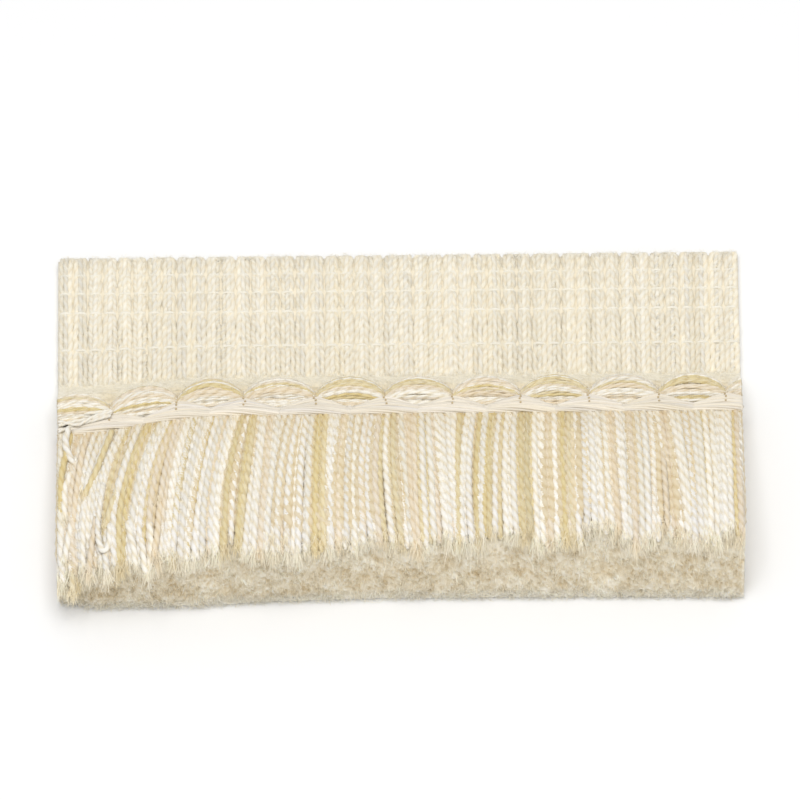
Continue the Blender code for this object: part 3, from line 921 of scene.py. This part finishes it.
def chain_threads(material):
    """Chain stitch: soft spindle links in front, and straight filaments over each pinch."""
    steps = 21
    u = shares(steps)
    paths = []
    radii = []
    for pinch in [PINCHES[0] - FLOAT_PITCH, *PINCHES]:
        x = pinch + blend(-LINK - 0.45, LINK + 0.45, u)
        swell = np.sin(math.pi * u)
        girth = LINK_RADIUS * (0.42 + 0.58 * swell ** 0.6)
        forward, down = sag(x)
        paths.append(np.stack([x, FILLER[0] - forward, FILLER[1] - down], axis=1))
        radii.append(np.full(steps, FILLER_RADIUS))
        if pinch < PINCHES[0]:
            continue
        twist = chance.uniform(1.5, 3.0)
        for index in range(LINK_FILAMENTS + 1):
            core = index == LINK_FILAMENTS
            angle = 2 * math.pi * index / LINK_FILAMENTS
            angle = angle + twist * u + wander(1, u, 0.10)[0]
            fan = 0.0 if core else girth * 0.9
            y = CHAIN_Y - CHAIN_DIP * (1 - swell) - forward + fan * np.cos(angle)
            z = CHAIN_Z - 0.15 * (1 - swell) - down + fan * np.sin(angle)
            paths.append(np.stack([x, y, z], axis=1))
            radii.append(girth * 0.95 if core else np.full(steps, FILAMENT_RADIUS))
    for pinch in PINCHES:
        for y_at, z_at in BUNDLES:
            for index in range(BUNDLE_FILAMENTS):
                angle = 2 * math.pi * index / BUNDLE_FILAMENTS
                x = pinch + blend(-BUNDLE_HALF, BUNDLE_HALF, u) + jitter(0.15)
                away = np.abs(2 * u - 1) ** 1.4
                forward, down = sag(x)
                fan = 0.17 + 0.06 * away
                y = blend(y_at, BUNDLE_END_Y, away) - forward + fan * np.cos(angle)
                z = z_at - down - away * 0.40 + fan * np.sin(angle)
                y = y + wander(1, u, 0.04)[0]
                z = z + wander(1, u, 0.03)[0]
                paths.append(np.stack([x, y, z], axis=1))
                radii.append(np.full(steps, FILAMENT_RADIUS))
    paths = np.array(paths)
    paths[:, :, 0] = np.clip(paths[:, :, 0], -HALF_LENGTH, HALF_LENGTH)
    wide = np.ptp(paths[:, :, 0], axis=1) > 1.0
    # Points clipped to the same place get a direction again
    paths[:, :, 0] += np.linspace(0, 1e-3, steps)
    colours = tints(["blush"] * int(wide.sum()), 0.05)
    radii = np.array(radii)[wide]
    return yarns("chain_threads", paths[wide], radii, outline(5), STRAIGHT, colours, material)


def loosened_strands(material):
    """The chain's plied strands where they have come loose at the left end."""
    paths = [softened(points, 40, 6) for points in LOOSENED]
    colours = tints(["pale"] * len(paths))
    return yarns(
        "loosened_strands", paths, LOOSENED_RADIUS, YARN_SECTION, LOOSENED_TURN, colours, material
    )


def pinch_shadow_dots(material):
    """At each pinch, short dark brown bits where the tie passes down between the bundles: painted
    shadow of the gaps there.
    """
    u = shares(5)
    paths = []
    for pinch in PINCHES:
        forward, down = sag(pinch)
        for y_at, z_at in SHADOW_DOTS:
            x = pinch + blend(-0.11, 0.11, u) + jitter(0.12)
            y = y_at - 0.33 + 0.10 * u + jitter(0.03) - forward
            z = z_at + 0.04 * np.sin(math.pi * u) - down
            paths.append(np.stack([x, y, z], axis=1))
    colours = tints(["brown"] * len(paths))
    return yarns("pinch_shadow_dots", paths, SHADOW_DOT_RADIUS, outline(6), STRAIGHT, colours, material)


# Brush


def tuft_dyes(x, rest):
    """Dyes at each x: the tufts' own, and a draw from the rest between them."""
    names = []
    for place in x:
        near = [dye for middle, wide, dye in TUFTS if abs(place - middle) < wide / 2]
        keep = near and chance.uniform() < TUFT_SHARE
        names.append(near[0] if keep else chance.choice(rest))
    return names


def mixed_dyes(count):
    """Dyes of a hidden layer's yarns, in short runs of one dye; the shaded amber among them is painted
    shade where gaps show these yarns.
    """
    names = []
    while len(names) < count:
        dye = chance.choice(["ivory", "gold", "peach", "shaded_amber"], p=[0.25, 0.2, 0.25, 0.3])
        names.extend([dye] * int(chance.integers(1, 4)))
    return names[:count]


def clumps(count):
    """For each yarn, its clump's number and its place in the clump from -1 to 1."""
    sizes = []
    places = []
    while sum(sizes) < count:
        size = min(int(chance.integers(6, 15)), count - sum(sizes))
        places.append((np.arange(size) - (size - 1) / 2) / max(size, 2) * 2)
        sizes.append(size)
    return np.repeat(np.arange(len(sizes)), sizes), np.concatenate(places)


def brush_paths(columns, up, steps, loose):
    """Paths of one layer's yarns from the root to the cut end.

    Up is the layer's place from the floor (0) to the top (1), and loose how far yarns stray.
    """
    count = len(columns)
    start_x = -HALF_LENGTH + (columns + 0.5) * BRUSH_SPACING
    loose = loose * (1.0 + TOUSLE * smooth((TOUSLE_X - start_x) / 9.0))
    t = shares(steps)
    clump, place = clumps(count)
    per_clump = chance.normal(size=(clump.max() + 1, 4))[clump]
    root_x = start_x + jitter(0.05, count)
    lean = at(LEAN, "lean", root_x) + loose * (0.20 * per_clump[:, 2] - 0.09 * place)
    lean = lean + jitter(0.11, count) * loose
    lean = lean + LEAN_DRIFT * np.sin(np.outer(root_x, drift_waves) + drift_starts).sum(axis=1)
    end_x = np.clip(root_x + lean, -HALF_LENGTH, HALF_LENGTH)
    forward, down = sag(root_x)
    root_y = BRUSH_ROOT_Y - forward
    root_z = (ROOT_HEIGHT - down) * up
    up = np.broadcast_to(up, (count,))
    reach = blend(at(FOOT, "foot", end_x), at(LIP, "reach", end_x), up)
    reach = reach + FACE_BULGE * up * (1 - up)
    reach = reach + loose * (0.40 * per_clump[:, 0] + jitter(0.30, count))
    end_z = np.maximum(at(LIP, "height", end_x) * up, END_RADIUS)
    end_z = end_z + loose * (0.12 * per_clump[:, 1] + jitter(0.06, count))
    bow = at(LEAN, "bow", root_x) + 0.15 * loose * per_clump[:, 3]
    sway = wander(count, t, 0.08, 4) * loose[:, None] * np.sqrt(t)
    x = root_x[:, None] + lean[:, None] * t + bow[:, None] * 4 * t * (1 - t) + sway
    y = blend(root_y[:, None], -reach[:, None], t)
    rides = loose * (jitter(0.10, count) + 0.10 * (1 - 2 * place ** 2))
    arch = up * ARCH + rides
    z = blend(root_z[:, None], end_z[:, None], t) + arch[:, None] * np.sin(math.pi * t ** 0.85)
    z = z + wander(count, t, 0.05, 4) * loose[:, None] * np.sqrt(t)
    limit = HALF_LENGTH - ROOT_RADIUS
    x = np.clip(x, -limit, limit)
    return np.stack([x, y, np.maximum(z, END_RADIUS + FLOOR_GAP)], axis=-1)


def shortened(paths, length):
    """The same yarns, each ending that much sooner."""
    paths[:, :, 1] += length * shares(paths.shape[1])
    return paths


def side_yarns():
    """Yarns stacked at both cut sides of the brush, from the floor up."""
    sides = np.repeat([-1.0, 1.0], SIDE_LAYERS)
    ups = np.tile(np.linspace(0.04, 0.94, SIDE_LAYERS), 2)
    paths = brush_paths((sides + 1) / 2 * (BRUSH_COLUMNS - 1), ups, BED_STEPS, 0.2)
    paths[:, :, 0] = (sides * (HALF_LENGTH - ROOT_RADIUS))[:, None]
    paths[:, 0, 1] += SIDE_ROOT_BACK
    return shortened(paths, SIDE_SHORT)


def yarn_radius(steps):
    """A brush yarn's radius along its length: gathered at the root and open at its end."""
    t = shares(steps)
    radius = ROOT_RADIUS + (END_RADIUS - ROOT_RADIUS) * smooth(t / 0.6)
    radius[-3:] *= (0.94, 0.80, 0.50)
    return radius


def along_yarn(colours, steps):
    """The dyes along each yarn, with painted shade where it is packed at the root under the chain and
    painted light towards its end.
    """
    t = shares(steps)[None, :, None]
    # Painted shade near the root, where the yarns are packed under the chain
    shaded_root = blend(np.array(ROOT_SHADE), 1.0, smooth(t / 0.35))
    # Painted light towards the yarn's end
    pale = blend(1.0, np.array(END_LIGHT), smooth((t - 0.5) / 0.5))
    return colours[:, None, :] * shaded_root * pale


def face_points(x, v, fields):
    """Points of the felted face at each x and share v from the lip (0) to the foot (1).

    Gives the strength of the lumps, tufts and grain at each point too.
    """
    tuck = smooth((0.08 - v) / 0.08)
    lip_y = at(LIP, "reach", x) - 0.45
    lip_z = at(LIP, "height", x) - 0.30
    foot = at(FOOT, "foot", x) + 0.10
    undercut = FACE_UNDERCUT * smooth((v - 0.84) / 0.16)
    y = -(blend(lip_y, foot, v) + FACE_BULGE * v * (1 - v) - 1.3 * tuck - undercut)
    z = blend(lip_z, 0.10, v) - 0.10 * tuck
    points = np.stack([x, y, z], axis=-1)
    lumps, tufts, grain = (field(points) for field in fields)
    relief = 0.08 * lumps + 0.07 * tufts + 0.05 * grain
    low = smooth((1.0 - v) / 0.12)[..., None]
    points = points + relief[..., None] * FACE_OUT * (0.3 + 0.7 * low)
    return points, (lumps, tufts, grain)


def face_colours(points, strengths):
    """Felt colours: random tone, sandy in the hollows as painted shade and paler on the swells as
    painted light; painted light below the lip, painted shade just under it, and greyer towards the
    floor as painted shade.
    """
    lumps, tufts, grain = strengths
    # Random tone from the same fields that raise the lumps, so it is also painted shade in the hollows
    # and painted light on the swells
    tone = 0.30 * lumps + 0.34 * tufts + 0.36 * grain
    colour = blend(np.array(DYES["beige"]), DYES["sand"], smooth(-0.2 - 0.9 * tone)[..., None])
    colour = blend(colour, DYES["fluff"], smooth(0.9 * tone)[..., None])
    lip = at(LIP, "height", points[..., 0])
    # Painted light: paler below the lip, where the yarns' tips overhang
    high = smooth((points[..., 2] - lip + 3.4) / 3.0)[..., None]
    colour = blend(colour, DYES["fluff"], 0.9 * high)
    # Painted shade just under the lip
    under_lip_shade = smooth((points[..., 2] - lip + 0.75) / 0.35)[..., None]
    colour = blend(colour, DYES["sand"], 0.75 * under_lip_shade)
    # Painted shade towards the floor: greyer
    low = smooth((FACE_GREY_Z - points[..., 2]) / FACE_GREY_Z)[..., None]
    return blend(colour, DYES["grey"], 0.75 * low)


def cut_face(fields, material):
    """The cut end's felted face: the yarns' opened ends, matted together."""
    wide = round(LENGTH / FACE_STEP)
    tall = round(FACE_TALL / FACE_STEP)
    x, v = np.meshgrid(
        np.linspace(-HALF_LENGTH + 0.1, HALF_LENGTH - 0.1, wide + 1), np.linspace(0, 1, tall + 1)
    )
    points, strengths = face_points(x, v, fields)
    colours = face_colours(points, strengths)
    # The felt runs back under the yarns' tips, and a little way along both sides, darker there as
    # painted shade
    back = np.array([0.0, 1.3, 0.0])
    points = np.concatenate([points[:1] + np.array([0.0, 2.6, -0.9]), points])
    points = np.concatenate([points[:, :1] + back, points, points[:, -1:] + back], axis=1)
    colours = np.concatenate([colours[:1] * SHELF_SHADE, colours])
    left, right = colours[:, :1] * SHELF_SHADE, colours[:, -1:] * SHELF_SHADE
    colours = np.concatenate([left, colours, right], axis=1)
    quads = grid_quads(tall + 1, wide + 2)
    return mesh_object("cut_face", points.reshape(-1, 3), [quads], colours.reshape(-1, 3), material)


def face_fibres(fields, material):
    """Short loose fibres all over the felted face."""
    tuft = chance.integers(0, FACE_TUFTS, FACE_FIBRES)
    limit = HALF_LENGTH - 0.2
    x = chance.uniform(-limit, limit, FACE_TUFTS)[tuft] + jitter(0.09, FACE_FIBRES)
    v = chance.uniform(0.0, 0.99, FACE_TUFTS)[tuft] + jitter(0.010, FACE_FIBRES)
    starts, strengths = face_points(np.clip(x, -limit, limit), np.clip(v, 0.0, 0.99), fields)
    # The fibres take the face's colours, painted shade and light included
    colours = face_colours(starts, strengths)
    colours = colours * (1 + jitter(1.0, (FACE_TUFTS, 1)) * TUFT_SPREAD)[tuft]
    aim = 0.65 * FACE_OUT + jitter(0.30, (FACE_TUFTS, 3))[tuft]
    aim = aim + jitter(0.20, (FACE_FIBRES, 3))
    aim *= chance.uniform(0.35, 0.80, (FACE_FIBRES, 1))
    starts = starts - FACE_OUT * 0.06
    paths = np.stack([starts, starts + aim], axis=1)
    paths[:, :, 2] = np.maximum(paths[:, :, 2], FIBRE_LOW)
    widths = chance.uniform(0.04, 0.075, FACE_FIBRES)
    shade = 1.04 + jitter(0.06, (FACE_FIBRES, 1))
    return ribbons("cut_fibres", paths, widths, colours * shade, material)


def hair_set(paths, radius, count, reach, dye):
    """Fine hairs that stand off yarns: each starts on a yarn and leans along it."""
    which = chance.integers(0, len(paths), count)
    step = chance.integers(1, paths.shape[1] - 1, count)
    along = unit(paths[which, step + 1] - paths[which, step - 1])
    out = chance.normal(size=(count, 3))
    out[:, 2] = np.abs(out[:, 2]) + 0.4
    out = unit(out - along * np.sum(out * along, axis=1, keepdims=True))
    lean = along * chance.choice([-1.0, 1.0], (count, 1))
    length = reach * chance.uniform(0.4, 1.0, (count, 1))
    starts = paths[which, step] + out * radius * 0.7
    middles = starts + (0.5 * out + 0.3 * lean) * length
    hair = np.stack([starts, middles, starts + (0.6 * out + lean) * length], axis=1)
    return hair, chance.uniform(0.025, 0.05, count), tints([dye] * count, 0.04)


def hairs(name, material, *sets):
    """One object of all the sets of hairs, each given as hair_set takes it."""
    made = [hair_set(*each) for each in sets]
    return ribbons(name, *(np.concatenate(part) for part in zip(*made)), material)


def tip_fibres(tips, colours, material):
    """Fibres that open from the yarns' tips along the lip."""
    count = len(tips) * TIP_FIBRES
    which = np.repeat(np.arange(len(tips)), TIP_FIBRES)
    starts = tips[which] + jitter(0.24, (count, 3))
    starts[:, 1] += chance.uniform(-0.1, 1.0, count)
    starts[:, 2] += chance.uniform(-0.2, 0.42, count)
    length = chance.uniform(0.6, 1.5, (len(tips), 1))[which]
    aim = np.array([0.0, -1.0, -0.60]) + jitter(0.36, (count, 3))
    aim *= length * chance.uniform(0.7, 1.2, (count, 1))
    paths = np.stack([starts, starts + aim], axis=1)
    paths[:, :, 2] = np.maximum(paths[:, :, 2], FIBRE_LOW)
    widths = chance.uniform(0.04, 0.08, count)
    tint = blend(colours[which], DYES["fluff"], 0.45)
    # The tips' fibres are lightened a little: painted light
    shade = np.array([1.07, 1.045, 0.99]) + jitter(0.05, (count, 1))
    return ribbons("tip_fibres", paths, widths, tint * shade, material)


def curls(fields, material):
    """Fine curly fibres along the foot of the cut end."""
    u = shares(5)
    x = chance.uniform(-HALF_LENGTH + 0.6, HALF_LENGTH - 0.6, CURLS)
    v = chance.uniform(0.84, 1.0, CURLS)
    starts, _ = face_points(x, v, fields)
    along = jitter(0.8, (CURLS, 1)) * u
    out = chance.uniform(0.15, 0.8, (CURLS, 1)) * u
    drop = jitter(0.25, (CURLS, 1)) * u
    wave = chance.uniform(0.05, 0.14, (CURLS, 1)) * np.sin(
        chance.uniform(4.0, 9.0, (CURLS, 1)) * u + chance.uniform(0, 6.28, (CURLS, 1))
    )
    paths = starts[:, None, :] + np.stack([along, -out + wave * 0.5, drop + wave], axis=-1)
    paths[:, :, 2] = np.maximum(paths[:, :, 2], FIBRE_LOW)
    colours = tints(["fluff"] * CURLS, 0.10)
    return ribbons("foot_curls", paths, np.full(CURLS, 0.05), colours, material)


def stray_yarns(material):
    """The single yarns on top of the brush, in one object."""
    steps = 44
    u = shares(steps)
    paths = [softened(points, steps, 10) + wander(3, u, 0.05).T for _, points in STRAYS]
    radius = np.full(steps, STRAY_RADIUS)
    radius[0] = 0.1
    radius[-3:] = (0.40, 0.32, 0.16)
    colours = tints([dye for dye, _ in STRAYS])
    return yarns("stray_yarns", paths, radius, YARN_SECTION, YARN_TURN, colours, material)


def brush(material, fuzz):
    """The brush: its shown yarns, the ones under them, its cut end and its fibres."""
    pieces = []
    everywhere = np.arange(BRUSH_COLUMNS) - 0.25
    fields = (soft_field(1.8, 5.5), soft_field(0.6, 1.2), soft_field(0.35, 0.6))

    def add(name, paths, section, turn, colours, radius=None):
        steps = paths.shape[1]
        radius = yarn_radius(steps) if radius is None else radius
        colours = along_yarn(colours, steps)
        pieces.append(yarns(name, paths, radius, section, turn, colours, material))

    both = np.arange(2 * BRUSH_COLUMNS) / 2 - 0.25
    ups = np.where(np.arange(len(both)) % 2, SECOND_UP, 1.0)
    shown = brush_paths(both, ups, BRUSH_STEPS, 1.0)
    top = shown[::2]
    middle = top[:, BRUSH_STEPS // 2, 0]
    colours = tints(tuft_dyes(middle, ["ivory", "ivory", "ivory", "ivory", "cream"]), 0.03)
    add("brush_top", top, YARN_SECTION, YARN_TURN * chance.uniform(0.85, 1.2, len(top)), colours)
    tips, tip_colours = top[:, -1], colours
    hair_row = (top, ROOT_RADIUS, BRUSH_HAIRS, 0.9, "ivory")
    pieces.append(hairs("brush_hairs", fuzz, hair_row))

    second = shown[1::2][:, np.linspace(0, BRUSH_STEPS - 1, SECOND_STEPS).round().astype(int)]
    middle = second[:, SECOND_STEPS // 2, 0]
    colours = tints(tuft_dyes(middle, ["ivory", "ivory", "ivory", "gold", "peach"]))
    add("brush_second", second, YARN_SECTION_PLAIN, YARN_TURN, colours)

    # The left end's tousled yarns lie across the others
    places = chance.uniform(0.0, 21.0, TOUSLED_YARNS)
    tousled = brush_paths(np.sort(places), 1.02, TOUSLED_STEPS, 1.6)
    dyes = chance.choice(["ivory", "gold", "peach"], TOUSLED_YARNS, p=[0.6, 0.2, 0.2])
    colours = tints(list(dyes))
    add("brush_tousled", tousled, YARN_SECTION, YARN_TURN, colours)
    tips = np.concatenate([tips, tousled[:, -1], [points[-1] for _, points in STRAYS[:-2]]])
    tip_colours = np.concatenate([tip_colours, colours, tints([dye for dye, _ in STRAYS[:-2]])])

    # The bed closes the gaps between the yarns above it, and stacked yarns close both sides. The bed's
    # deeper amber is painted shade in those gaps
    bed = shortened(brush_paths(everywhere + 0.25, BED_UP, BED_STEPS, 0.3), BED_SHORT)
    sides = side_yarns()
    bed_radius = np.linspace(*BED_RADIUS, BED_STEPS)
    bed_radius[-5:] *= (0.95, 0.88, 0.78, 0.66, 0.50)
    radius = np.array([bed_radius] * len(bed) + [yarn_radius(BED_STEPS)] * len(sides))
    colours = tints(["shaded_amber"] * len(bed) + mixed_dyes(len(sides)))
    filling = np.concatenate([bed, sides])
    add("brush_bed", filling, YARN_SECTION_PLAIN, YARN_TURN, colours, radius)

    core = []
    core_colours = []
    for layer in range(CORE_LAYERS):
        up = blend(0.30, 0.86, layer / (CORE_LAYERS - 1))
        paths = brush_paths(everywhere + 0.5 * (layer % 2), up, 8, 0.5)
        core.append(shortened(paths, HIDDEN_SHORT))
        core_colours.append(tints(mixed_dyes(BRUSH_COLUMNS)))
    add("brush_core", np.concatenate(core), outline(4), STRAIGHT, np.concatenate(core_colours))

    pieces.append(stray_yarns(material))
    under = shortened(brush_paths(everywhere + 0.25, 0.0, 12, 0.5), HIDDEN_SHORT)
    colours = tints(mixed_dyes(BRUSH_COLUMNS))
    add("brush_underside", under, YARN_SECTION_PLAIN, STRAIGHT, colours)

    pieces.append(cut_face(fields, fuzz))
    pieces.append(face_fibres(fields, fuzz))
    # Tufts between the yarns' tips
    tuft_x = chance.uniform(-HALF_LENGTH + 0.5, HALF_LENGTH - 0.5, LIP_TUFTS)
    tuft_y = 0.8 - at(LIP, "reach", tuft_x)
    tufts = np.stack([tuft_x, tuft_y, at(LIP, "height", tuft_x) - 0.25], axis=1)
    tips = np.concatenate([tips, tufts])
    tip_colours = np.concatenate([tip_colours, tints(["beige"] * LIP_TUFTS)])
    pieces.append(tip_fibres(tips, tip_colours, fuzz))
    pieces.append(curls(fields, fuzz))
    return pieces


# Stage, light and camera


def stage():
    """The white floor, the even light of the room and one softbox above."""
    material, _, shade = new_material("pale_floor")
    shade({
        "Base Color": (0.91, 0.91, 0.91, 1.0), "Roughness": 0.9, "Specular IOR Level": 0.1,
    })
    bpy.ops.mesh.primitive_plane_add(size=4.0)
    floor = bpy.context.object
    floor.name = "floor"
    floor.data.materials.append(material)

    world = bpy.data.worlds.new("soft_room")
    world.use_nodes = True
    background = world.node_tree.nodes["Background"]
    light = {"Color": (1.0, 1.0, 1.0, 1.0), "Strength": ROOM_LIGHT}
    set_inputs(world.node_tree, background, light)
    bpy.context.scene.world = world
    add_softbox("key_light", KEY_PLACE, KEY_SIZE, KEY_POWER)


def add_softbox(name, place, size, power):
    """A square light at a place, turned to the middle of the scene."""
    light = bpy.data.lights.new(name, "AREA")
    light.shape = "SQUARE"
    light.size = size
    light.energy = power
    obj = linked(name, light)
    obj.location = place
    obj.rotation_euler = (-Vector(place)).to_track_quat("-Z", "Y").to_euler()


def add_camera():
    """The photo's view."""
    camera = bpy.data.cameras.new("camera")
    camera.lens = LENS
    camera.sensor_width = SENSOR
    distance = FRAME_WIDTH * MM * LENS / SENSOR
    camera.clip_end = 4 * distance
    elevation = math.radians(VIEW_ELEVATION)
    away = Vector((0.0, -math.cos(elevation), math.sin(elevation)))
    target = Vector(VIEW_TARGET) * MM
    turn = Matrix.Rotation(math.pi / 2 - elevation, 4, "X")
    roll = Matrix.Rotation(math.radians(VIEW_ROLL), 4, "Z")
    obj = linked("camera", camera)
    obj.matrix_world = Matrix.Translation(target + away * distance) @ turn @ roll
    bpy.context.scene.camera = obj


def attach(pieces, slot, *nodes):
    for piece in pieces:
        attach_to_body(piece, "root")
        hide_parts(*nodes)


add_camera()
stage()
bpy.context.scene.view_settings.view_transform = "Standard"

# The brush yarns get painted shade in their ply grooves and painted highlight on their crests; the
# heading's yarn gets painted shade in its grooves only
brush_cotton = yarn_material("brush_cotton", 0.62, BRUSH_GROOVE_SHADE, BRUSH_CREST_HIGHLIGHT, 0.05)
heading_cotton = yarn_material("heading_cotton", 0.75, (0.96, 0.915, 0.83), (1.0, 1.0, 1.0), 0.04)
loose_fibres = fuzz_material()
soft_thread = yarn_material("soft_thread", 0.55, (1.0, 1.0, 1.0), (1.0, 1.0, 1.0), 0.02)
ground = base_cloth(cloth_material())

ties = [f"tie_{index:02d}" for index in range(1, 11)]
heading_pieces = [*heading_threads(heading_cotton, loose_fibres), line_threads(soft_thread)]
brush_pieces = brush(brush_cotton, loose_fibres)
floats = float_yarns(brush_cotton, loose_fibres)
tie_piece = tie_threads(soft_thread)
chain = [
    chain_threads(soft_thread), loosened_strands(heading_cotton), pinch_shadow_dots(soft_thread)
]
attach([ground, *heading_pieces], "tape_cream", "heading_tape")
attach(brush_pieces, "brush_yarn", "brush")
attach(floats, "bundle_yarn", "float_bundle")
attach([tie_piece], "tie_thread", *ties)
attach(chain, "chain_thread", "chain_stitch")
